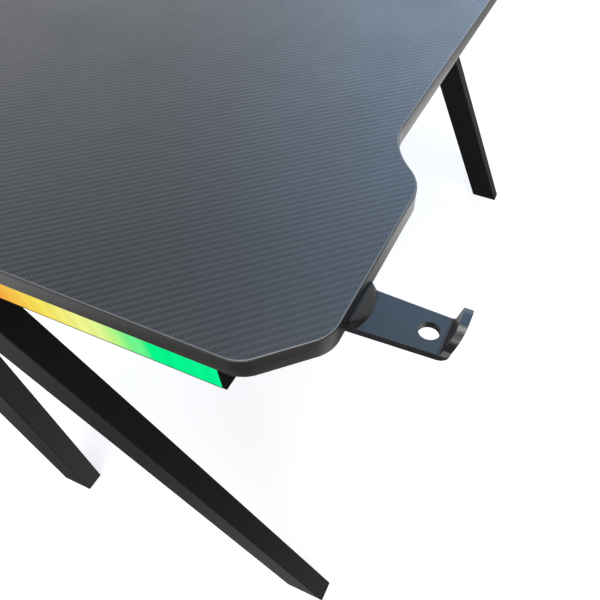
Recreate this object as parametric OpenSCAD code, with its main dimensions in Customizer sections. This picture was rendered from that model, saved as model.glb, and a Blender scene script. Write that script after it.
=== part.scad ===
// Straight gaming desk: a board with a carbon-weave face, two leaning leg frames, a light bar under
// each end and a hook for a headset under the left wing.
// Millimetres, with the floor at z = 0. Every part is drawn with x = 0 at the desktop's left edge and
// y = 0 at the front edge of its wings, and is then moved so that the origin is the middle of the base.

/* [Desktop] */
// Length of the desktop, left to right
desktop_length = 1336; // [1200:1:1600]
// Depth of the desktop at its wings, front to back
desktop_depth = 600; // [600:5:660]
// Height of the worktop above the floor
desk_height = 750; // [720:5:780]
// Thickness of the desktop, with its laminate
board_thickness = 18; // [16:1:25]
// Thickness of the carbon-weave laminate
laminate_thickness = 0.8; // [0.5:0.1:1.2]
// Thickness of the edge band
band_thickness = 1.5; // [1:0.5:3]
// Size of the cut across each front corner
corner_cut = 45.5; // [35:0.5:55]
// Rounding at both ends of a corner cut
corner_radius = 27; // [10:1:35]
// Rounding of the rear corners
rear_radius = 18; // [5:1:40]
// Length of each wing's front edge, measured to where its sloping side begins
wing_length = 227; // [200:1:240]
// Run of the sloping side between a wing and the middle of the front
wing_slope_run = 46.5; // [44:0.5:80]
// How far the middle of the front is set back from the wings
recess_depth = 45; // [30:0.5:60]
// Rounding where a wing turns into its sloping side
wing_radius = 47; // [20:1:50]
// Rounding where the sloping side meets the middle of the front
recess_radius = 88; // [30:1:90]

/* [Leg frames] */
// Width of a strut's tube, across its length in the plane of the frame
tube_width = 62; // [50:1:64]
// Thickness of a strut's tube, left to right
tube_depth = 34; // [28:1:36]
// Wall of the steel tubes
tube_wall = 1.5; // [1.2:0.1:2]
// Distance from the end of the desktop to the outer face of the struts
leg_inset = 10.5; // [10:0.5:14]
// Distance from the wings' front edge to the front of the front foot
foot_setback = 7; // [0:1:30]
// Lean of the front strut from upright, in degrees
front_lean = 28.8; // [26:0.1:29]
// Height of the top rails and the crossbeams
rail_height = 24; // [24:1:30]
// Width of the top rails
rail_width = 25; // [20:1:26]
// Where a top rail starts, behind the wings' front edge
rail_front = 125; // [120:5:130]
// Distance from the rear edge of the desktop to the rear end of a rail
rail_rear_gap = 18; // [10:1:22]
// Width of a crossbeam, front to back
beam_width = 40; // [30:1:44]
// Thickness of the plates at the ends of a crossbeam
end_plate = 4; // [3:0.5:6]
// Thickness of the sole of a foot
foot_sole = 3; // [2:0.5:6]

/* [Light bars] */
// Height of a light bar below the desktop
light_height = 23; // [20:0.5:23.5]
// Depth of a light bar, inwards from the end of the desktop
light_depth = 16; // [12:1:16]
// Distance from the wings' front edge to a light bar, and from the rear edge to it
light_setback = 61; // [55:1:90]
// Thickness of a light bar's end caps
end_cap = 3.5; // [2:0.5:6]
// Number of light-emitting chips in a bar
led_count = 28; // [10:1:36]

/* [Headset hook] */
// Distance from the left end of the desktop to the middle of the hook
hook_x = 92; // [80:1:110]
// How far the hook stands out in front of the wing
hook_reach = 80; // [70:1:90]
// Thickness of the hook's strap
hook_thickness = 6; // [4:0.5:8]
// Width of the strap at its bend
hook_width = 36.5; // [34:0.5:39]
// Width of the strap at the desktop's edge
hook_root_width = 42; // [40:1:46]
// Width of the plate under the desktop
hook_plate_width = 52; // [50:1:60]
// Radius of the hole through the strap
hook_hole_r = 8.2; // [4:0.1:9]
// How far the lip's tip stands above the worktop
lip_rise = 6; // [0:0.5:8]
// Width of the lip
lip_width = 33; // [30:0.5:34]
// Rounding of the lip's two top corners
lip_corner_r = 12; // [4:0.5:14]
// Lean of the lip, outwards from upright, in degrees
hook_flare = 13; // [5:1:20]

/* [Light control] */
// Length of the control box, left to right
case_length = 70; // [60:1:90]
// Depth of the control box, front to back
case_depth = 42; // [38:1:50]
// Height of the control box, with its lid
case_height = 16; // [15:1:20]
// Radius of the mode button
button_r = 4; // [3:0.5:4.5]
// How far the mode button stands out of the box
button_proud = 2; // [1.5:0.1:3]

/* [Hidden] */
$fn = 48;
eps = 0.01;
fit_gap = 0.2;

underside = desk_height - board_thickness;
rail_bottom = underside - rail_height;
light_bottom = underside - light_height;

black_steel = [0.09, 0.09, 0.09];
black_plastic = [0.07, 0.07, 0.08];
zinc = [0.62, 0.63, 0.65];

// ---- Outline of the desktop ----
left_corners = [
    [0, desktop_depth, rear_radius],
    [0, corner_cut, corner_radius],
    [corner_cut, 0, corner_radius],
    [wing_length, 0, wing_radius],
    [wing_length + wing_slope_run, recess_depth, recess_radius]
];
last_corner = len(left_corners) - 1;
outline = concat(
    left_corners,
    [for (i = [last_corner:-1:0]) let (c = left_corners[i]) [desktop_length - c.x, c.y, c.z]]
);

function flat(v) = [v.x, v.y];
function unit(v) = v / norm(v);
function half_angle(a, b, c) = acos(unit(a - b) * unit(c - b)) / 2;
function bisector(a, b, c) = unit(unit(a - b) + unit(c - b));

// The arc of radius r that rounds the corner b between a and c
function corner_arc(a, b, c, r, steps = 12) =
    let (
        half = half_angle(a, b, c),
        centre = b + bisector(a, b, c) * r / sin(half),
        p = b + unit(a - b) * r / tan(half) - centre,
        q = b + unit(c - b) * r / tan(half) - centre,
        start = atan2(p.y, p.x),
        raw = atan2(q.y, q.x) - start,
        turn = raw > 180 ? raw - 360 : raw < -180 ? raw + 360 : raw
    )
    [for (i = [0:steps]) centre + r * [cos(start + turn * i / steps), sin(start + turn * i / steps)]];

// A closed outline from corners [x, y, radius]; a radius of 0 leaves the corner sharp
function rounded(corners) =
    let (n = len(corners))
    [for (i = [0:n - 1]) each corners[i].z == 0 ? [flat(corners[i])] : corner_arc(
        flat(corners[(i + n - 1) % n]), flat(corners[i]), flat(corners[(i + 1) % n]), corners[i].z
    )];

// The same corners, moved inwards by d; the outline runs anticlockwise
function inset(corners, d) =
    let (n = len(corners))
    [for (i = [0:n - 1])
        let (
            a = flat(corners[(i + n - 1) % n]),
            b = flat(corners[i]),
            c = flat(corners[(i + 1) % n]),
            side = cross(b - a, c - b) > 0 ? 1 : -1,
            moved = b + side * bisector(a, b, c) * d / sin(half_angle(a, b, c))
        )
        [moved.x, moved.y, corners[i].z - side * d]];

// ---- Places ----
module at_left() {
    translate([-desktop_length / 2, -(desktop_depth - hook_reach) / 2, 0]) children();
}
module at_right() {
    mirror([1, 0, 0]) at_left() children();
}
// Draws an outline of [y, z] points, width thick along x
module along_x(width) {
    rotate([90, 0, 90]) linear_extrude(width) children();
}
// Draws an outline of [x, z] points from front to back, depth long along y
module along_y(front, depth) {
    translate([0, front + depth, 0]) rotate([90, 0, 0]) linear_extrude(depth) children();
}

// ---- Desktop ----
core_thickness = board_thickness - laminate_thickness;
insert_r = 4.5;
insert_depth = 13;
bolt_r = 3;

rail_x = leg_inset + tube_depth - rail_width / 2;
rail_rear = desktop_depth - rail_rear_gap;
front_beam_y = 200;
rear_beam_y = 470;
rail_bolt_y = [140, 255, 370, rail_rear - 20];
beam_bolt_offset = 250;
rail_spots = [for (y = rail_bolt_y) [rail_x, y]];
beam_spots = [
    for (y = [front_beam_y, rear_beam_y], side = [-1, 1])
        [desktop_length / 2 + side * beam_bolt_offset, y]
];
desktop_spots = concat(
    rail_spots, [for (s = rail_spots) [desktop_length - s.x, s.y]], beam_spots
);

small_screw_r = 1.75;
small_screw_bite = 10;
light_screw_x = 9.5;
light_screw_y = [100, desktop_depth / 2, desktop_depth - 100];
light_spots = [for (y = light_screw_y) [light_screw_x, y]];
hook_screw_spots = [for (side = [-1, 1]) [hook_x + side * 15, 24]];
case_x = 62;
case_y = 95;
ear = 9;
case_screw_spots = [
    [case_x - ear / 2, case_y + case_depth - ear / 2],
    [case_x + case_length + ear / 2, case_y + case_depth - ear / 2]
];
small_spots = concat(
    light_spots, [for (s = light_spots) [desktop_length - s.x, s.y]],
    hook_screw_spots, case_screw_spots
);

module desktop_board() {
    color([0.13, 0.12, 0.12]) at_left() translate([0, 0, underside]) difference() {
        linear_extrude(core_thickness) polygon(rounded(inset(outline, band_thickness)));
        for (s = desktop_spots) translate([s.x, s.y, -1]) cylinder(r = insert_r, h = insert_depth + 1);
        for (s = small_spots)
            translate([s.x, s.y, -1]) cylinder(r = small_screw_r + 0.05, h = small_screw_bite + 2);
    }
}
module worktop_laminate() {
    color([0.29, 0.32, 0.36]) at_left() translate([0, 0, underside + core_thickness])
        linear_extrude(laminate_thickness) polygon(rounded(inset(outline, band_thickness)));
}
module edge_band() {
    color([0.25, 0.24, 0.22]) at_left() translate([0, 0, underside]) linear_extrude(board_thickness)
        difference() {
            polygon(rounded(outline));
            polygon(rounded(inset(outline, band_thickness)));
        }
}

// ---- Leg frames ----
front_slope = tan(front_lean);
front_foot_length = tube_width / cos(front_lean);
front_top_rear = foot_setback + front_foot_length + front_slope * rail_bottom;
rear_top_y = front_top_rear + 1;
rear_foot_y = desktop_depth - foot_setback - tube_width;
rear_slope = (rear_foot_y - rear_top_y) / rail_bottom;
rear_foot_length = tube_width * norm([1, rear_slope]);

// A leaning bar cut level at both ends: its front edge is at y on the floor, and slope is dy / dz
module leaning_bar(y, length, slope, x, width, low, high) {
    translate([x, 0, 0]) along_x(width) polygon([
        [y + slope * low, low], [y + length + slope * low, low],
        [y + length + slope * high, high], [y + slope * high, high]
    ]);
}
module strut(y, length, slope) {
    wall_y = tube_wall * norm([1, slope]);
    color(black_steel) difference() {
        leaning_bar(y, length, slope, leg_inset, tube_depth, foot_sole, rail_bottom);
        leaning_bar(
            y + wall_y, length - 2 * wall_y, slope,
            leg_inset + tube_wall, tube_depth - 2 * tube_wall, 0, desk_height
        );
    }
}
plug_height = 20;
// A plastic foot: a sole under the tube and a plug that grips its inside
module foot(y, length, slope) {
    inner = tube_wall * norm([1, slope]) + fit_gap;
    side = tube_wall + fit_gap;
    color(black_plastic) {
        leaning_bar(y, length, slope, leg_inset, tube_depth, 0, foot_sole);
        leaning_bar(
            y + inner, length - 2 * inner, slope, leg_inset + side, tube_depth - 2 * side,
            foot_sole, foot_sole + plug_height
        );
    }
}
module front_strut() strut(foot_setback, front_foot_length, front_slope);
module rear_strut() strut(rear_foot_y, rear_foot_length, -rear_slope);
module front_foot() foot(foot_setback, front_foot_length, front_slope);
module rear_foot() foot(rear_foot_y, rear_foot_length, -rear_slope);

beam_bolt_gap = 27;
beam_bolt_spots = [
    for (y = [front_beam_y, rear_beam_y], side = [-1, 1])
        [y + side * beam_bolt_gap, underside - rail_height / 2]
];
bolt_hole_r = bolt_r + 0.3;
rail_left = rail_x - rail_width / 2;
rail_right = rail_x + rail_width / 2;
cap_flange = 3;

module top_rail() {
    inside = rail_width - 2 * tube_wall;
    color(black_steel) difference() {
        translate([rail_left, rail_front, rail_bottom])
            cube([rail_width, rail_rear - rail_front, rail_height]);
        translate([rail_left + tube_wall, rail_front - 1, rail_bottom + tube_wall])
            cube([inside, rail_rear - rail_front + 2, rail_height - 2 * tube_wall]);
        for (s = rail_spots)
            translate([s.x, s.y, rail_bottom - 1]) cylinder(r = bolt_hole_r, h = rail_height + 2);
        for (s = beam_bolt_spots)
            translate([rail_x, s.x, s.y]) rotate([0, 90, 0]) cylinder(r = bolt_r + 0.1, h = rail_width);
    }
}
module rail_cap(y, outwards) {
    inside = tube_wall + fit_gap;
    grip = 12;
    flange_y = outwards < 0 ? y - cap_flange : y;
    grip_y = outwards < 0 ? y : y - grip;
    translate([rail_left, flange_y, rail_bottom]) cube([rail_width, cap_flange, rail_height]);
    translate([rail_left + inside, grip_y, rail_bottom + inside])
        cube([rail_width - 2 * inside, grip, rail_height - 2 * inside]);
}
module rail_caps() {
    color(black_plastic) {
        rail_cap(rail_front, -1);
        rail_cap(rail_rear, 1);
    }
}

// ---- Crossbeams and their fasteners ----
module crossbeam(y) {
    plate_width = 2 * beam_bolt_gap + 20;
    tube_length = desktop_length - 2 * rail_right - 2 * end_plate;
    color(black_steel) at_left() difference() {
        union() {
            translate([rail_right + end_plate, y - beam_width / 2, rail_bottom])
                cube([tube_length, beam_width, rail_height]);
            for (x = [rail_right, desktop_length - rail_right - end_plate])
                translate([x, y - plate_width / 2, rail_bottom]) cube([end_plate, plate_width, rail_height]);
        }
        translate([rail_right + end_plate, y - beam_width / 2 + tube_wall, rail_bottom + tube_wall])
            cube([tube_length, beam_width - 2 * tube_wall, rail_height - 2 * tube_wall]);
        for (side = [-1, 1]) {
            translate([desktop_length / 2 + side * beam_bolt_offset, y, rail_bottom - 1])
                cylinder(r = bolt_hole_r, h = rail_height + 2);
            translate([rail_right - 1, y + side * beam_bolt_gap, rail_bottom + rail_height / 2])
                rotate([0, 90, 0]) cylinder(r = bolt_hole_r, h = desktop_length - 2 * rail_right + 2);
        }
    }
}
module front_crossbeam() crossbeam(front_beam_y);
module rear_crossbeam() crossbeam(rear_beam_y);

// A socket-head bolt: its head's seat is at z = 0 and its shank runs up
module bolt(length, shank_r = bolt_r, head_r = 5.5, head_height = 3.6, socket = 2.3) {
    difference() {
        translate([0, 0, -head_height]) cylinder(r = head_r, h = head_height);
        translate([0, 0, -head_height - 1]) cylinder(r = socket, h = head_height / 2 + 1, $fn = 6);
    }
    translate([0, 0, -eps]) cylinder(r = shank_r, h = length + eps);
}
module desktop_bolts() {
    color(zinc) at_left() for (s = desktop_spots)
        translate([s.x, s.y, rail_bottom]) bolt(rail_height + insert_depth - 2);
}
module threaded_inserts() {
    color([0.72, 0.62, 0.35]) at_left() for (s = desktop_spots) translate([s.x, s.y, underside])
        difference() {
            cylinder(r = insert_r - 0.05, h = insert_depth);
            translate([0, 0, -1]) cylinder(r = bolt_r + 0.1, h = insert_depth);
        }
}
module end_bolts() {
    for (s = beam_bolt_spots)
        translate([rail_right + end_plate, s.x, s.y]) rotate([0, -90, 0]) bolt(end_plate + 12);
}
module beam_bolts() {
    color(zinc) {
        at_left() end_bolts();
        at_right() end_bolts();
    }
}

// ---- Light bars ----
light_wall = 1.5;
lip = 1;
light_length = desktop_depth - 2 * light_setback;
channel_front = light_setback + end_cap;
channel_length = light_length - 2 * end_cap;
face_low = light_bottom + lip + 0.1;
face_high = underside - 0.1;
strip_width = 10;
strip_height = light_bottom + light_height / 2;
strip_x = light_depth - light_wall - 0.1;
strip_thickness = 0.4;
chip = 5;
chip_thickness = 1.4;

module light_channel() {
    color(black_plastic) difference() {
        along_y(channel_front, channel_length) polygon([
            [0, light_bottom], [light_depth, light_bottom], [light_depth, underside],
            [2, underside], [2, underside - light_wall],
            [light_depth - light_wall, underside - light_wall],
            [light_depth - light_wall, light_bottom + lip], [0, light_bottom + lip]
        ]);
        for (s = light_spots) translate([s.x, s.y, underside - light_wall - 1])
            cylinder(r = small_screw_r + 0.2, h = light_wall + 2);
    }
}
module light_diffuser() {
    face = 1.6;
    leg = 5;
    low = face_low;
    high = face_high;
    color([0.85, 0.95, 0.9]) along_y(channel_front + 0.1, channel_length - 0.2) polygon([
        [0, low], [leg, low], [leg, low + 1], [face, low + 1],
        [face, high - light_wall - 1], [leg, high - light_wall - 1],
        [leg, high - light_wall - 0.2], [face, high - light_wall - 0.2], [face, high], [0, high]
    ]);
}
module light_strip() {
    color([0.9, 0.9, 0.88])
        translate([strip_x - strip_thickness, channel_front + 4, strip_height - strip_width / 2])
            cube([strip_thickness, channel_length - 8, strip_width]);
}
module light_chips() {
    pitch = (channel_length - 24) / (led_count - 1);
    chip_x = strip_x - strip_thickness - chip_thickness;
    color([1, 1, 0.9]) for (i = [0:led_count - 1])
        translate([chip_x, channel_front + 12 + i * pitch - chip / 2, strip_height - chip / 2])
            cube([chip_thickness, chip, chip]);
}
module light_caps() {
    color(black_plastic) for (y = [light_setback, light_setback + light_length - end_cap])
        translate([0, y, light_bottom]) cube([light_depth, end_cap, light_height]);
}
module light_screws() {
    color(zinc) for (s = light_spots) translate([s.x, s.y, underside - light_wall])
        bolt(light_wall + small_screw_bite, small_screw_r, 3.2, 2, 1.3);
}

// ---- Headset hook ----
bend_inner_r = 3.5;
bend_outer_r = bend_inner_r + hook_thickness;
bend_z = underside + bend_inner_r;
lip_top = desk_height + lip_rise;
half_strap = hook_width / 2;
half_root = hook_root_width / 2;
plate_rear = 42;
plate_front = 10;

// How far a surface of the bend and lip with radius r stands in front of the bend at the lip's top
function lip_run(r) =
    r * cos(hook_flare) + (lip_top - bend_z + r * sin(hook_flare)) * tan(hook_flare);
bend_y = lip_run(bend_outer_r) - hook_reach;
function bend_arc(r, steps = 10) = [
    for (i = [0:steps])
        let (turn = (90 - hook_flare) * i / steps)
        [bend_y - r * sin(turn), bend_z - r * cos(turn)]
];
function backwards(points) = [for (i = [len(points) - 1:-1:0]) points[i]];

module hook_plan() {
    half_plate = hook_plate_width / 2;
    root_y = 2;
    polygon(rounded([
        [hook_x + half_plate, plate_rear, 8], [hook_x - half_plate, plate_rear, 8],
        [hook_x - half_plate, plate_front, 4], [hook_x - half_root, root_y, 3],
        [hook_x - half_strap, bend_y, 0], [hook_x + half_strap, bend_y, 0],
        [hook_x + half_root, root_y, 3], [hook_x + half_plate, plate_front, 4]
    ]));
}
module hook_lip() {
    half_lip = lip_width / 2;
    low = underside - 2 * hook_thickness;
    root = 1;
    intersection() {
        translate([hook_x - half_strap, 0, 0]) along_x(hook_width) polygon(concat(
            [[bend_y + root, underside - hook_thickness], [bend_y + root, underside]],
            bend_arc(bend_inner_r),
            [[bend_y - lip_run(bend_inner_r), lip_top], [bend_y - lip_run(bend_outer_r), lip_top]],
            backwards(bend_arc(bend_outer_r))
        ));
        along_y(-hook_reach - 1, hook_reach + 1) polygon(rounded([
            [hook_x - half_strap, low, 0], [hook_x + half_strap, low, 0],
            [hook_x + half_strap, underside, 0], [hook_x + half_lip, bend_z + 1, 0],
            [hook_x + half_lip, lip_top, lip_corner_r], [hook_x - half_lip, lip_top, lip_corner_r],
            [hook_x - half_lip, bend_z + 1, 0], [hook_x - half_strap, underside, 0]
        ]));
    }
}
// A ramp on the strap that butts against the front edge of the wing
module hook_stop() {
    height = 7;
    depth = 6;
    bulge = 5;
    crest = 1.5;
    half = half_root - 0.3;
    hull() {
        translate([0, 0, underside - eps]) linear_extrude(eps) polygon(concat(
            [[hook_x + half, -fit_gap], [hook_x - half, -fit_gap]],
            [for (i = [-6:6]) [hook_x + half * i / 6, bulge * (pow(i / 6, 2) - 1) - depth]]
        ));
        translate([hook_x - half, -fit_gap - crest, underside + height - eps]) cube([2 * half, crest, eps]);
    }
}
module headset_hook() {
    low = underside - hook_thickness;
    color(black_plastic) at_left() {
        difference() {
            translate([0, 0, low]) linear_extrude(hook_thickness) hook_plan();
            translate([hook_x, bend_y + hook_hole_r + 2.6, low - 1])
                cylinder(r = hook_hole_r, h = hook_thickness + 2);
            for (s = hook_screw_spots)
                translate([s.x, s.y, low - 1]) cylinder(r = small_screw_r + 0.3, h = hook_thickness + 2);
        }
        hook_lip();
        hook_stop();
    }
}
module hook_screws() {
    color(zinc) at_left() for (s = hook_screw_spots) translate([s.x, s.y, underside - hook_thickness])
        bolt(hook_thickness + small_screw_bite, small_screw_r, 3.8, 2.4, 1.4);
}

// ---- Light control ----
case_wall = 1.6;
lid_thickness = 1.6;
case_bottom = underside - case_height;
lid_bottom = underside - lid_thickness;
board_z = case_bottom + 3.2;
pcb_thickness = 1.6;
board_top = board_z + pcb_thickness;
button_x = case_x + case_length / 2;
button_z = case_bottom + case_height / 2;
button_gap = 0.3;
flange_r = button_r + 1.2;
flange_thickness = 1.2;
button_stem = 3;
button_travel = 1;
inlet_x = case_x + case_length - 16;
inlet_r = 4;
inlet_z = board_top + inlet_r + fit_gap;
post_r = 2.5;
post_inset = 7;

// A cylinder of length h that runs along +y from p
module pin_y(p, r, h) {
    translate(p) rotate([-90, 0, 0]) cylinder(r = r, h = h);
}
module controller_case() {
    color(black_plastic) at_left() {
        difference() {
            union() {
                translate([case_x, case_y, case_bottom])
                    cube([case_length, case_depth, case_height - lid_thickness]);
                for (x = [case_x - ear, case_x + case_length])
                    translate([x, case_y + case_depth - ear, lid_bottom - 1])
                        cube([ear, ear, 1 + lid_thickness]);
            }
            translate([case_x + case_wall, case_y + case_wall, case_bottom + case_wall])
                cube([case_length - 2 * case_wall, case_depth - 2 * case_wall, case_height]);
            pin_y([button_x, case_y - 1, button_z], button_r + button_gap, case_wall + 2);
            pin_y([inlet_x, case_y + case_depth - case_wall - 1, inlet_z], inlet_r + fit_gap, case_wall + 2);
            for (s = case_screw_spots) translate([s.x, s.y, lid_bottom - 2])
                cylinder(r = small_screw_r + 0.3, h = lid_thickness + 4);
        }
        for (x = [post_inset, case_length - post_inset], y = [post_inset, case_depth - post_inset])
            translate([case_x + x, case_y + y, case_bottom + case_wall - eps])
                cylinder(r = post_r, h = board_z - case_bottom - case_wall + eps);
    }
}
module controller_lid() {
    color(black_plastic) at_left() translate([case_x, case_y, lid_bottom])
        cube([case_length, case_depth, lid_thickness]);
}
module controller_board() {
    margin = case_wall + 1;
    notch_depth = 2.5;
    color([0.05, 0.3, 0.12]) at_left() {
        difference() {
            translate([case_x + margin, case_y + margin, board_z])
                cube([case_length - 2 * margin, case_depth - 2 * margin, pcb_thickness]);
            translate([button_x - flange_r - 1, case_y + margin - 1, board_z - 1])
                cube([2 * flange_r + 2, notch_depth + 1, pcb_thickness + 2]);
        }
        translate([case_x + 14, case_y + 16, board_top - eps]) cube([12, 12, 1.6]);
        translate([case_x + 16, case_y + 6, board_top - eps]) cube([8, 6, 2.2]);
    }
}
switch_y = case_y + case_wall + button_gap + flange_thickness + button_stem + button_travel + button_gap;
module button_switch() {
    stub = 1.5;
    color([0.2, 0.2, 0.2]) at_left() {
        translate([button_x - 3, switch_y + stub, board_top]) cube([6, 3.5, 6]);
        pin_y([button_x, switch_y, button_z], 1.6, stub + eps);
    }
}
module mode_button() {
    inner_face = case_y + case_wall + button_gap;
    color([0.75, 0.76, 0.78]) at_left() {
        front = case_y - button_proud;
        pin_y([button_x, front, button_z], button_r, inner_face - front + eps);
        pin_y([button_x, inner_face, button_z], flange_r, flange_thickness);
        pin_y([button_x, inner_face + flange_thickness - eps, button_z], 1.8, button_stem + eps);
    }
}
module power_inlet() {
    barrel = 11;
    mouth_y = case_y + case_depth;
    rear_y = mouth_y - barrel;
    block = barrel - case_wall - 0.5;
    color([0.12, 0.12, 0.12]) at_left() {
        difference() {
            union() {
                pin_y([inlet_x, rear_y, inlet_z], inlet_r, barrel);
                translate([inlet_x - inlet_r, rear_y, board_top])
                    cube([2 * inlet_r, block, inlet_z - board_top]);
            }
            pin_y([inlet_x, rear_y + 2, inlet_z], 2.8, barrel);
        }
        pin_y([inlet_x, rear_y + 2 - eps, inlet_z], 1, barrel - 3);
    }
}
module controller_screws() {
    color(zinc) at_left() for (s = case_screw_spots) translate([s.x, s.y, lid_bottom - 1])
        bolt(1 + lid_thickness + small_screw_bite, small_screw_r, 3.2, 2, 1.3);
}
lead_width = 6;
lead_thickness = 1.4;
lead_y = case_y + 14;
lead_height = underside - 3;
clip_spots = [
    case_x - 14, 250, 460, desktop_length / 2,
    desktop_length - 460, desktop_length - 250, desktop_length - 50
];

// A flat four-core lead that runs from x = from to x = to
module lead(from, to) {
    color([0.15, 0.15, 0.16]) at_left()
        translate([from, lead_y - lead_width / 2, lead_height - lead_thickness])
            cube([to - from, lead_width, lead_thickness]);
}
module left_light_lead() lead(light_depth, case_x);
module right_light_lead() lead(case_x + case_length, desktop_length - light_depth);
module lead_clips() {
    clip_length = 10;
    wall = 1.2;
    color([0.12, 0.12, 0.12]) at_left() for (x = clip_spots)
        translate([x - clip_length / 2, lead_y, 0]) {
            low = lead_height - lead_thickness - wall;
            half = lead_width / 2 + wall;
            difference() {
                translate([0, -half, low]) cube([clip_length, 2 * half, underside - low]);
                translate([-1, -lead_width / 2, low + wall])
                    cube([clip_length + 2, lead_width, lead_thickness]);
            }
        }
}

// ---- The two sides ----
module left_front_strut() at_left() front_strut();
module left_rear_strut() at_left() rear_strut();
module left_top_rail() at_left() top_rail();
module left_rail_caps() at_left() rail_caps();
module left_front_foot() at_left() front_foot();
module left_rear_foot() at_left() rear_foot();
module left_light_channel() at_left() light_channel();
module left_light_diffuser() at_left() light_diffuser();
module left_light_strip() at_left() light_strip();
module left_light_chips() at_left() light_chips();
module left_light_caps() at_left() light_caps();
module left_light_screws() at_left() light_screws();
module right_front_strut() at_right() front_strut();
module right_rear_strut() at_right() rear_strut();
module right_top_rail() at_right() top_rail();
module right_rail_caps() at_right() rail_caps();
module right_front_foot() at_right() front_foot();
module right_rear_foot() at_right() rear_foot();
module right_light_channel() at_right() light_channel();
module right_light_diffuser() at_right() light_diffuser();
module right_light_strip() at_right() light_strip();
module right_light_chips() at_right() light_chips();
module right_light_caps() at_right() light_caps();
module right_light_screws() at_right() light_screws();

desktop_board();
worktop_laminate();
edge_band();
left_front_strut();
left_rear_strut();
left_top_rail();
left_rail_caps();
left_front_foot();
left_rear_foot();
right_front_strut();
right_rear_strut();
right_top_rail();
right_rail_caps();
right_front_foot();
right_rear_foot();
front_crossbeam();
rear_crossbeam();
beam_bolts();
desktop_bolts();
threaded_inserts();
left_light_channel();
left_light_diffuser();
left_light_strip();
left_light_chips();
left_light_caps();
left_light_screws();
right_light_channel();
right_light_diffuser();
right_light_strip();
right_light_chips();
right_light_caps();
right_light_screws();
headset_hook();
hook_screws();
controller_case();
controller_lid();
controller_board();
button_switch();
mode_button();
power_inlet();
controller_screws();
left_light_lead();
right_light_lead();
lead_clips();
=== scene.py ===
"""Looks for a straight gaming desk: carbon-weave top, leaning steel legs, light bars and a headset hook."""
import math

import bmesh
import bpy
from mathutils import Matrix, Vector


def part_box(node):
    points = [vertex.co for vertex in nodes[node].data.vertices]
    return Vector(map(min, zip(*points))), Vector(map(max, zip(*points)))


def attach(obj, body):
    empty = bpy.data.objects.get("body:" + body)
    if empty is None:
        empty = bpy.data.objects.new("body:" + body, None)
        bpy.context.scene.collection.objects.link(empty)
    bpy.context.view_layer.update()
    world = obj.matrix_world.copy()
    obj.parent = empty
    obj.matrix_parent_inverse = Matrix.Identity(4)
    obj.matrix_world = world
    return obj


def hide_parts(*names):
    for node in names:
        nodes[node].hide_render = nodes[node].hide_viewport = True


MM = 0.001
SAME_PLACE = 0.01 * MM  # points closer together than this are one point

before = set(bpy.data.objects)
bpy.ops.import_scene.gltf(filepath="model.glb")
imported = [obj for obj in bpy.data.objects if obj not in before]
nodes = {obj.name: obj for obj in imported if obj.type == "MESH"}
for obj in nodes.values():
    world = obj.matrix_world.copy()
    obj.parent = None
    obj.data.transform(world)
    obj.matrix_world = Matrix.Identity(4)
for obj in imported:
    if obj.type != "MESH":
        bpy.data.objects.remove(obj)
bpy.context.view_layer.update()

# ------------------------------------------------------------------ places read from the frame
band_low, band_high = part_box("edge_band")
UNDERSIDE = band_low.z
WORKTOP = band_high.z
LEFT = band_low.x
FRONT = band_low.y


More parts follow.
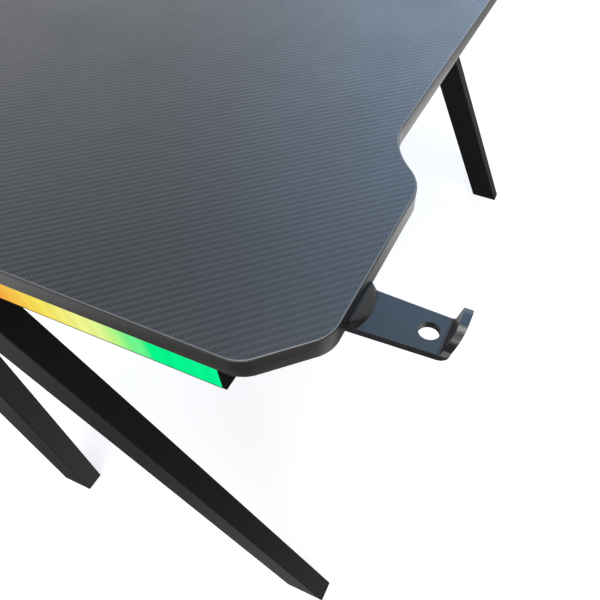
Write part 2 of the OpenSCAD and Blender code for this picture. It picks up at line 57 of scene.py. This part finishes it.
# ------------------------------------------------------------------ node helpers
class Graph:
    """Short names for building a material's nodes."""

    def __init__(self, name):
        self.material = bpy.data.materials.new(name)
        self.material.use_nodes = True
        self.tree = self.material.node_tree
        self.tree.nodes.clear()
        self.output = self.tree.nodes.new("ShaderNodeOutputMaterial")
        self.shader = self.tree.nodes.new("ShaderNodeBsdfPrincipled")
        self.link(self.shader.outputs[0], self.output.inputs["Surface"])
        self.coords = self.tree.nodes.new("ShaderNodeTexCoord").outputs["Object"]

    def link(self, source, target):
        self.tree.links.new(source, target)

    def feed(self, socket, value):
        """Links a socket, or sets a number or colour on it."""
        if isinstance(value, bpy.types.NodeSocket):
            self.link(value, socket)
        elif isinstance(value, (tuple, list)) and len(value) == 3 and socket.type == "RGBA":
            socket.default_value = (*value, 1.0)
        else:
            socket.default_value = value

    def set(self, **values):
        """Sets inputs of the main shader by name, with _ for a space."""
        for name, value in values.items():
            self.feed(self.shader.inputs[name.replace("_", " ")], value)

    def math(self, operation, a, b=0.0):
        node = self.tree.nodes.new("ShaderNodeMath")
        node.operation = operation
        self.feed(node.inputs[0], a)
        self.feed(node.inputs[1], b)
        return node.outputs[0]

    def axes(self):
        """The object's x, y and z."""
        node = self.tree.nodes.new("ShaderNodeSeparateXYZ")
        self.link(self.coords, node.inputs[0])
        return node.outputs

    def scaled(self, x, y, z):
        """The object's coordinates, scaled along each axis, to stretch a noise."""
        node = self.tree.nodes.new("ShaderNodeMapping")
        self.feed(node.inputs["Vector"], self.coords)
        node.inputs["Scale"].default_value = (x, y, z)
        return node.outputs[0]

    def noise(self, scale, detail=3.0, roughness=0.55, vector=None):
        node = self.tree.nodes.new("ShaderNodeTexNoise")
        self.feed(node.inputs["Vector"], vector or self.coords)
        node.inputs["Scale"].default_value = scale
        node.inputs["Detail"].default_value = detail
        node.inputs["Roughness"].default_value = roughness
        return node.outputs[0]

    def grains(self, scale):
        """The distance to the middle of the nearest of many scattered cells."""
        node = self.tree.nodes.new("ShaderNodeTexVoronoi")
        self.feed(node.inputs["Vector"], self.coords)
        node.inputs["Scale"].default_value = scale
        return node.outputs["Distance"]

    def remap(self, value, low, high, to_low, to_high):
        node = self.tree.nodes.new("ShaderNodeMapRange")
        for socket, number in zip(node.inputs, (value, low, high, to_low, to_high)):
            self.feed(socket, number)
        return node.outputs[0]

    def blend(self, share, a, b):
        """Colour a where share is 0 and b where it is 1."""
        node = self.tree.nodes.new("ShaderNodeMix")
        node.data_type = "RGBA"
        self.feed(node.inputs["Factor"], share)
        self.feed(node.inputs[6], a)
        self.feed(node.inputs[7], b)
        return node.outputs[2]

    def ramp(self, value, stops):
        """Colours at places from 0 to 1, blended between them."""
        node = self.tree.nodes.new("ShaderNodeValToRGB")
        self.feed(node.inputs[0], value)
        elements = node.color_ramp.elements
        while len(elements) < len(stops):
            elements.new(0.5)
        for element, (place, colour) in zip(elements, stops):
            element.position = place
            element.color = (*colour, 1.0)
        return node.outputs[0]

    def bump(self, height, distance, strength, under=None):
        """A normal from a height; under is a coarser bump that it lies on."""
        node = self.tree.nodes.new("ShaderNodeBump")
        node.inputs["Strength"].default_value = strength
        node.inputs["Distance"].default_value = distance
        self.feed(node.inputs["Height"], height)
        if under is not None:
            self.link(under, node.inputs["Normal"])
        return node.outputs[0]


# ------------------------------------------------------------------ materials
THREAD = 2.18 * MM  # width of a thread of the weave
TWILL_REPEAT = 4.0  # threads, of which each thread crosses over two and under two
FIBRE_BUNDLES = 7  # lines along each thread
# Weave tones are partly print, partly painted light: paler weft and crowns as painted sheen, darker thread
# edges as painted shade.
WARP_TONES = (0.003, 0.0036, 0.0042), (0.0085, 0.010, 0.012)  # at a thread's edge and on its crown
WEFT_TONES = (0.0080, 0.0095, 0.0115), (0.027, 0.032, 0.038)


def carbon_film():
    """A two-over, two-under twill printed and pressed into a film: threads run along x and y, with painted
    sheen and shade.
    """
    g = Graph("carbon_film")
    x, y, _ = g.axes()
    u = g.math("DIVIDE", x, THREAD)
    v = g.math("DIVIDE", y, THREAD)
    across_u = g.math("FRACT", u)
    across_v = g.math("FRACT", v)
    step = g.math("FLOORED_MODULO", g.math("ADD", g.math("FLOOR", u), g.math("FLOOR", v)), TWILL_REPEAT)
    weft = g.math("GREATER_THAN", step, 1.5)

    def dome(value):
        """0 at 0 and 1, and 1 at a half."""
        return g.math("MULTIPLY", g.math("MULTIPLY", value, g.math("SUBTRACT", 1.0, value)), 4.0)

    def choose(warp_value, weft_value):
        share = g.math("MULTIPLY", weft, g.math("SUBTRACT", weft_value, warp_value))
        return g.math("ADD", warp_value, share)

    along_warp = g.math("DIVIDE", g.math("ADD", step, across_v), 2.0)
    along_weft = g.math("DIVIDE", g.math("ADD", g.math("SUBTRACT", step, 2.0), across_u), 2.0)
    across = choose(across_u, across_v)
    along = choose(along_warp, along_weft)
    height = g.math("MULTIPLY", g.math("POWER", dome(across), 0.5), g.math("POWER", dome(along), 0.35))
    fibres = g.math("SINE", g.math("MULTIPLY", across, 2 * math.pi * FIBRE_BUNDLES))
    relief = g.math("ADD", height, g.math("MULTIPLY", fibres, 0.06))

    mottling = g.remap(g.noise(14.0, 4.0, 0.6), 0.3, 0.7, -0.03, 0.03)
    threads = g.bump(relief, 0.10 * MM, 0.85)
    g.set(
        # Printed tones with painted sheen on the weft and the crowns and painted shade at the thread edges
        Base_Color=g.blend(weft, g.blend(height, *WARP_TONES), g.blend(height, *WEFT_TONES)),
        Roughness=g.math("ADD", g.remap(weft, 0.0, 1.0, 0.44, 0.38), mottling),
        Specular_IOR_Level=0.6,
        Normal=g.bump(g.noise(900.0, 2.0), 0.03 * MM, 0.4, under=threads),
    )
    return g.material


def edge_film():
    """Smooth dark edge band, drawn along its length; its paler arris is partly a flush-trim mark, partly a
    painted highlight.
    """
    g = Graph("edge_film")
    streaks = g.noise(60.0, 3.0, 0.6, vector=g.scaled(0.3, 0.3, 12.0))
    # The paler strip at the top of the arris is partly a trim mark and partly a painted highlight.
    trim_mark_and_highlight = g.remap(g.axes()[2], WORKTOP - 0.35 * MM, WORKTOP - 0.15 * MM, 0.0, 1.0)
    face = g.blend(streaks, (0.009, 0.008, 0.0075), (0.017, 0.0155, 0.014))
    g.set(
        Base_Color=g.blend(trim_mark_and_highlight, face, (0.105, 0.11, 0.118)),
        Roughness=g.remap(streaks, 0.3, 0.7, 0.25, 0.34),
        Specular_IOR_Level=0.4,
        Normal=g.bump(g.noise(1400.0, 2.0), 0.02 * MM, 0.5),
    )
    return g.material


def powder_coat():
    """Black powder coat: a fine orange-peel skin over steel."""
    g = Graph("powder_coat")
    peel = g.noise(1500.0, 3.0, 0.6)
    sweep = g.noise(6.0, 2.0)
    g.set(
        Base_Color=g.blend(sweep, (0.0015, 0.0015, 0.0014), (0.0028, 0.0028, 0.0027)),
        Roughness=g.remap(peel, 0.3, 0.7, 0.42, 0.56),
        Specular_IOR_Level=0.16,
        Normal=g.bump(peel, 0.08 * MM, 0.55),
    )
    return g.material


def moulded(name, colour, roughness, grain=900.0, specular=0.3):
    """Moulded plastic with a spark-eroded grain."""
    g = Graph(name)
    pits = g.noise(grain, 3.0, 0.65)
    tone = g.noise(20.0, 2.0)
    lighter = tuple(c * 1.5 + 0.002 for c in colour)
    g.set(
        Base_Color=g.blend(tone, colour, lighter),
        Roughness=g.remap(pits, 0.3, 0.7, roughness - 0.06, roughness + 0.06),
        Specular_IOR_Level=specular,
        Normal=g.bump(pits, 0.06 * MM, 0.5),
    )
    return g.material


def zinc():
    """Bright zinc plate, a little worn."""
    g = Graph("zinc")
    wear = g.noise(700.0, 3.0)
    g.set(
        Base_Color=g.blend(wear, (0.42, 0.43, 0.45), (0.62, 0.63, 0.65)),
        Metallic=1.0,
        Roughness=g.remap(wear, 0.3, 0.7, 0.24, 0.42),
        Normal=g.bump(wear, 0.02 * MM, 0.4),
    )
    return g.material


def brass():
    """Turned brass, for the threaded inserts."""
    g = Graph("brass")
    wear = g.noise(900.0, 3.0)
    g.set(
        Base_Color=g.blend(wear, (0.55, 0.36, 0.12), (0.72, 0.52, 0.20)),
        Metallic=1.0,
        Roughness=g.remap(wear, 0.3, 0.7, 0.22, 0.4),
    )
    return g.material


def backing_sheet():
    """Black balancing sheet on the underside of the board, with a pearl grain."""
    g = Graph("backing_sheet")
    pearl = g.grains(700.0)
    g.set(
        Base_Color=g.blend(pearl, (0.018, 0.018, 0.018), (0.034, 0.033, 0.032)),
        Roughness=g.remap(pearl, 0.0, 0.6, 0.62, 0.5),
        Normal=g.bump(pearl, 0.05 * MM, 0.6),
    )
    return g.material


LED_COUNT = 28  # chips in a light bar
# Colours along a light bar, from its front end to its rear end
GLOW = [
    (0.000, (0.00, 0.94, 0.30)),
    (0.120, (0.00, 0.94, 0.26)),
    (0.133, (0.14, 0.93, 0.28)),
    (0.155, (0.17, 0.93, 0.27)),
    (0.184, (0.46, 0.95, 0.24)),
    (0.202, (0.70, 0.95, 0.29)),
    (0.240, (0.90, 0.95, 0.28)),
    (0.330, (0.95, 0.78, 0.10)),
    (0.450, (0.95, 0.28, 0.04)),
    (0.570, (0.95, 0.03, 0.10)),
    (0.700, (0.75, 0.04, 0.80)),
    (0.840, (0.12, 0.12, 0.95)),
    (1.000, (0.00, 0.50, 0.95)),
]


def bar_colour(g):
    """The light's colour at each place along a bar."""
    low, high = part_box("left_light_diffuser")
    return g.ramp(g.remap(g.axes()[1], low.y, high.y, 0.0, 1.0), GLOW)


def glow():
    """A milky cover lit from behind by chips whose colours drift along the bar."""
    g = Graph("glow")
    low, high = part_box("left_light_diffuser")
    pitch = (high.y - low.y) / LED_COUNT
    chips = g.math("DIVIDE", g.math("SUBTRACT", g.axes()[1], low.y), pitch)
    ripple = g.math("COSINE", g.math("MULTIPLY", chips, 2 * math.pi))
    g.set(
        Base_Color=(0.001, 0.0012, 0.0012),
        Roughness=0.6,
        Specular_IOR_Level=0.0,
        Emission_Color=bar_colour(g),
        Emission_Strength=g.remap(ripple, -1.0, 1.0, 0.93, 1.0),
    )
    return g.material


def chip_light():
    """The light-emitting chips, in the colours of the cover over them."""
    g = Graph("chip_light")
    g.set(
        Base_Color=(0.9, 0.9, 0.8),
        Roughness=0.25,
        Emission_Color=bar_colour(g),
        Emission_Strength=1.5,
    )
    return g.material


def solder_mask():
    """Green lacquer over copper tracks."""
    g = Graph("solder_mask")
    tracks = g.noise(260.0, 1.0, vector=g.scaled(1.0, 1.0, 0.2))
    g.set(
        Base_Color=g.ramp(tracks, [(0.46, (0.004, 0.06, 0.02)), (0.5, (0.01, 0.13, 0.05))]),
        Roughness=0.3,
        Coat_Weight=0.4,
    )
    return g.material


CARBON = carbon_film()
EDGE = edge_film()
STEEL = powder_coat()
BACKING = backing_sheet()
ZINC = zinc()
BRASS = brass()
PLASTIC = moulded("black_plastic", (0.002, 0.002, 0.002), 0.6, specular=0.02)
CASE = moulded("case_plastic", (0.010, 0.010, 0.011), 0.45, 700.0)
FOOT = moulded("foot_plastic", (0.005, 0.005, 0.005), 0.7)
HOOK = moulded("hook_plastic", (0.003, 0.0032, 0.0036), 0.34, 1300.0, 0.65)
STRIP = moulded("flex_strip", (0.75, 0.75, 0.72), 0.4)
SWITCH = moulded("switch_plastic", (0.02, 0.02, 0.02), 0.4)
BUTTON = moulded("button_plastic", (0.50, 0.51, 0.53), 0.3)
SHEATH = moulded("lead_sheath", (0.015, 0.015, 0.016), 0.45)
GLOW_COVER = glow()
CHIP = chip_light()
CIRCUIT = solder_mask()

# Each CAD node's material, the radius of its sharp edges in millimetres and the steps in that rounding
FINISH = {
    "worktop_laminate": (CARBON, 0, 0),
    "desktop_board": (BACKING, 0, 0),
    "front_crossbeam": (STEEL, 1.2, 2),
    "rear_crossbeam": (STEEL, 1.2, 2),
    "beam_bolts": (ZINC, 0.4, 2),
    "desktop_bolts": (ZINC, 0.4, 2),
    "threaded_inserts": (BRASS, 0, 0),
    "headset_hook": (HOOK, 1.2, 3),
    "hook_screws": (ZINC, 0.3, 2),
    "controller_case": (CASE, 0.6, 2),
    "controller_lid": (CASE, 0.3, 2),
    "controller_board": (CIRCUIT, 0, 0),
    "button_switch": (SWITCH, 0.2, 1),
    "mode_button": (BUTTON, 0.5, 3),
    "power_inlet": (CASE, 0.2, 1),
    "controller_screws": (ZINC, 0.3, 2),
    "left_light_lead": (SHEATH, 0.4, 2),
    "right_light_lead": (SHEATH, 0.4, 2),
    "lead_clips": (CASE, 0.3, 2),
}
for side in ("left", "right"):
    FINISH.update({
        f"{side}_front_strut": (STEEL, 2.2, 3),
        f"{side}_rear_strut": (STEEL, 2.2, 3),
        f"{side}_top_rail": (STEEL, 1.2, 2),
        f"{side}_rail_caps": (CASE, 0.8, 2),
        f"{side}_front_foot": (FOOT, 1.2, 2),
        f"{side}_rear_foot": (FOOT, 1.2, 2),
        f"{side}_light_channel": (PLASTIC, 0.2, 1),
        f"{side}_light_diffuser": (GLOW_COVER, 0.3, 2),
        f"{side}_light_strip": (STRIP, 0, 0),
        f"{side}_light_chips": (CHIP, 0.3, 1),
        f"{side}_light_caps": (PLASTIC, 0.6, 2),
        f"{side}_light_screws": (ZINC, 0.3, 2),
    })


ROUNDED_FROM = math.radians(35)  # an edge that turns by less than this stays as it is


def finish_node(node, material, radius, steps):
    """Gives a CAD node its material and, where radius isn't 0, rounds its sharp edges."""
    obj = nodes[node]
    obj.data.materials.clear()
    obj.data.materials.append(material)
    if radius:
        weld = obj.modifiers.new("weld", "WELD")
        weld.merge_threshold = SAME_PLACE
        bevel = obj.modifiers.new("rounding", "BEVEL")
        bevel.width = radius * MM
        bevel.segments = steps
        bevel.limit_method = "ANGLE"
        bevel.angle_limit = ROUNDED_FROM
        bevel.harden_normals = True


for node, (material, radius, steps) in FINISH.items():
    finish_node(node, material, radius, steps)


# ------------------------------------------------------------------ edge band
def loops_at(node, height):
    """Closed outlines of a CAD node's level face at that height, each a list of (x, y), the longest first."""
    mesh = bmesh.new()
    mesh.from_mesh(nodes[node].data)
    bmesh.ops.remove_doubles(mesh, verts=mesh.verts, dist=SAME_PLACE)
    level = [f for f in mesh.faces if all(abs(v.co.z - height) < SAME_PLACE for v in f.verts)]
    inside = set(level)
    rim = [e for f in level for e in f.edges if sum(g in inside for g in e.link_faces) == 1]
    following = {}
    for edge in rim:
        face = next(f for f in edge.link_faces if f in inside)
        loop = next(l for l in face.loops if l.edge == edge)
        following[loop.vert] = loop.link_loop_next.vert
    found = []
    while following:
        first, vert = following.popitem()
        path = [first.co.xy.copy()]
        while vert is not first:
            path.append(vert.co.xy.copy())
            vert = following.pop(vert)
        found.append(path)
    mesh.free()
    return sorted(found, key=lambda path: -sum((b - a).length for a, b in zip(path, path[1:])))


def inward(path, distance):
    """Each point of a closed outline, moved square to it by distance; the outline runs anticlockwise."""
    least_mitre = 0.3  # keeps a sharp corner's point from moving too far
    moved = []
    for i, point in enumerate(path):
        before = (point - path[i - 1]).normalized()
        after = (path[(i + 1) % len(path)] - point).normalized()
        mean = (before + after).normalized()
        normal = Vector((-mean.y, mean.x))
        mitre = max(least_mitre, normal.dot(Vector((-before.y, before.x))))
        moved.append(point + normal * distance / mitre)
    return moved


def edge_band_piece():
    """The band swept round the board, with a rounded arris at the top and a small one below."""
    outer = loops_at("edge_band", WORKTOP)[0]
    band = 1.5 * MM
    top_r = 1.4 * MM
    low_r = 0.5 * MM
    steps = 5
    profile = [(band, WORKTOP)]
    for i in range(steps + 1):
        turn = math.pi / 2 * i / steps
        profile.append((top_r - top_r * math.sin(turn), WORKTOP - top_r + top_r * math.cos(turn)))
    for i in range(steps + 1):
        turn = math.pi / 2 * i / steps
        profile.append((low_r - low_r * math.cos(turn), UNDERSIDE + low_r - low_r * math.sin(turn)))
    profile.append((band, UNDERSIDE))
    mesh = bmesh.new()
    rings = [[mesh.verts.new((p.x, p.y, z)) for p in inward(outer, d)] for d, z in profile]
    count = len(outer)
    for a, b in zip(rings, rings[1:] + rings[:1]):
        for i in range(count):
            j = (i + 1) % count
            mesh.faces.new((a[i], b[i], b[j], a[j]))
    bmesh.ops.recalc_face_normals(mesh, faces=mesh.faces)
    for face in mesh.faces:
        face.smooth = True
    data = bpy.data.meshes.new("edge_band_rounded")
    mesh.to_mesh(data)
    mesh.free()
    piece = bpy.data.objects.new("edge_band_rounded", data)
    bpy.context.scene.collection.objects.link(piece)
    data.materials.append(EDGE)
    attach(piece, "desk")
    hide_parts("edge_band")


edge_band_piece()


# ------------------------------------------------------------------ camera, floor and lights
def camera():
    """Looks down at the left front corner, from in front of the desk and beyond its left end."""
    data = bpy.data.cameras.new("camera")
    data.sensor_width = 36.0
    data.lens = 30.524
    data.shift_x = -0.0887
    data.shift_y = 0.1101
    obj = bpy.data.objects.new("camera", data)
    bpy.context.scene.collection.objects.link(obj)
    # This far left of the desk's end, this far in front of its wings, and this high over the floor
    obj.location = (LEFT - 0.1428, FRONT - 0.0867, 1.0155)
    heading, tilt, roll = (math.radians(a) for a in (20.715, -55.260, 3.156))
    forward = Vector((math.cos(tilt) * math.cos(heading), math.cos(tilt) * math.sin(heading), math.sin(tilt)))
    level = forward.cross(Vector((0, 0, 1))).normalized()
    above = level.cross(forward)
    right = level * math.cos(roll) + above * math.sin(roll)
    up = right.cross(forward)
    obj.matrix_world = Matrix.Translation(obj.location) @ Matrix((right, up, -forward)).transposed().to_4x4()
    bpy.context.scene.camera = obj


def area_light(name, place, target, size, power):
    """A soft white rectangle of light that the camera doesn't see."""
    data = bpy.data.lights.new(name, "AREA")
    data.shape = "RECTANGLE"
    data.size, data.size_y = size
    data.energy = power
    obj = bpy.data.objects.new(name, data)
    bpy.context.scene.collection.objects.link(obj)
    obj.location = place
    obj.rotation_mode = "QUATERNION"
    obj.rotation_quaternion = (Vector(target) - Vector(place)).to_track_quat("-Z", "Y")
    obj.visible_camera = False


# How bright it is round the desk at each sine of the elevation
SKY_LEVELS = [
    (-1.00, 1.00),
    (-0.95, 0.70),
    (-0.87, 0.22),
    (-0.76, 0.12),
    (-0.66, 0.50),
    (-0.58, 0.95),
    (-0.50, 0.85),
    (-0.40, 0.45),
    (-0.20, 0.55),
    (-0.05, 1.10),
    (0.25, 1.20),
    (0.36, 1.55),
    (0.44, 1.20),
    (0.52, 0.55),
    (0.62, 0.20),
    (0.75, 0.09),
]
SKY_BLUE = 1.02  # how much stronger the blue is

# Soft-edged round patches over that. Each has how it is blended in, the heading and elevation of its middle,
# how far from the middle it ends and is at its full strength (all in degrees), and its colour.
SKY_PATCHES = [
    ("ADD", 3, 35, 32.9, 8.1, (0.75, 1.40, 2.30)),  # a wide bluish window on the right
    ("ADD", -12, -34, 16, 6, (0.6, 0.6, 0.58)),  # the pale floor on the right
    ("ADD", -80, -46, 28, 12, (0.9, 0.9, 0.9)),  # the pale floor in front
    ("MULTIPLY", -75, 12, 38, 12, (0.2, 0.2, 0.2)),  # a dim wall in front
    ("MULTIPLY", 190, -45, 36, 15, (0.3, 0.3, 0.3)),  # dim floor on the left
]


def room():
    """Light from all round, brightest near the horizon, with patches that shape the reflections."""
    world = bpy.data.worlds.new("room")
    bpy.context.scene.world = world
    world.use_nodes = True
    tree = world.node_tree
    background = tree.nodes["Background"]

    def add(kind, **values):
        node = tree.nodes.new(kind)
        for name, value in values.items():
            setattr(node, name, value)
        return node

    way = add("ShaderNodeTexCoord").outputs["Generated"]

    def patch(under, blend_type, heading, lift, outer, inner, colour):
        """Blends a colour in round a direction: in full within the inner angle, not at all past the outer."""
        heading, lift, outer, inner = (math.radians(angle) for angle in (heading, lift, outer, inner))
        level = math.cos(lift)
        towards = add("ShaderNodeVectorMath", operation="DOT_PRODUCT")
        towards.inputs[1].default_value = (
            math.cos(heading) * level,
            math.sin(heading) * level,
            math.sin(lift),
        )
        tree.links.new(way, towards.inputs[0])
        edge = add("ShaderNodeMapRange", interpolation_type="SMOOTHSTEP")
        edge.inputs["From Min"].default_value = math.cos(outer)
        edge.inputs["From Max"].default_value = math.cos(inner)
        tree.links.new(towards.outputs["Value"], edge.inputs["Value"])
        mix = add("ShaderNodeMix", data_type="RGBA", blend_type=blend_type, clamp_result=False)
        tree.links.new(edge.outputs[0], mix.inputs["Factor"])
        tree.links.new(under, mix.inputs[6])
        mix.inputs[7].default_value = (*colour, 1.0)
        return mix.outputs[2]

    split = add("ShaderNodeSeparateXYZ")
    tree.links.new(way, split.inputs[0])
    # From a sine of -1 to 1 to a place of 0 to 1 on the ramp
    halved = add("ShaderNodeMath", operation="MULTIPLY_ADD")
    halved.inputs[1].default_value = 0.5
    halved.inputs[2].default_value = 0.5
    tree.links.new(split.outputs["Z"], halved.inputs[0])
    height = add("ShaderNodeValToRGB")
    tree.links.new(halved.outputs[0], height.inputs[0])
    elements = height.color_ramp.elements
    while len(elements) < len(SKY_LEVELS):
        elements.new(0.5)
    for element, (sine, level) in zip(elements, SKY_LEVELS):
        element.position = (sine + 1) / 2
        element.color = (level, level, level * SKY_BLUE, 1.0)

    light = height.outputs[0]
    for settings in SKY_PATCHES:
        light = patch(light, *settings)

    # What lights the desk isn't what shows behind it, which is plain white
    backdrop = add("ShaderNodeMix", data_type="RGBA")
    tree.links.new(add("ShaderNodeLightPath").outputs["Is Camera Ray"], backdrop.inputs["Factor"])
    tree.links.new(light, backdrop.inputs[6])
    backdrop.inputs[7].default_value = (1.0, 1.0, 1.0, 1.0)
    tree.links.new(backdrop.outputs[2], background.inputs["Color"])
    background.inputs["Strength"].default_value = 1.0


FLOOR_SIZE = 30
FLOOR_DROP = 0.5 * MM  # keeps the floor from touching the soles


def studio():
    """A pale floor that reflections don't show, the room's light and three soft lights."""
    g = Graph("pale_floor")
    g.set(
        Base_Color=(0.45, 0.45, 0.45),
        Roughness=0.9,
        Specular_IOR_Level=0.1,
        Emission_Color=(1.0, 1.0, 1.0),
        Emission_Strength=0.70,
    )
    bpy.ops.mesh.primitive_plane_add(size=FLOOR_SIZE, location=(0, 0, -FLOOR_DROP))
    floor = bpy.context.object
    floor.name = "floor"
    floor.data.materials.append(g.material)
    floor.visible_glossy = False
    room()
    # Name, place, target, width and height, and power in watts
    area_light("overhead", (-0.6, -0.3, 3.4), (-0.2, 0, 0), (1.8, 1.8), 75)
    area_light("left_high", (-3.0, -1.3, 2.6), (-0.6, -0.3, 0.75), (1.6, 1.6), 40)
    area_light("left_side", (-2.6, -0.2, 0.75), (-0.6, -0.3, 0.75), (0.9, 0.7), 8)


camera()
studio()
bpy.context.scene.view_settings.view_transform = "Standard"
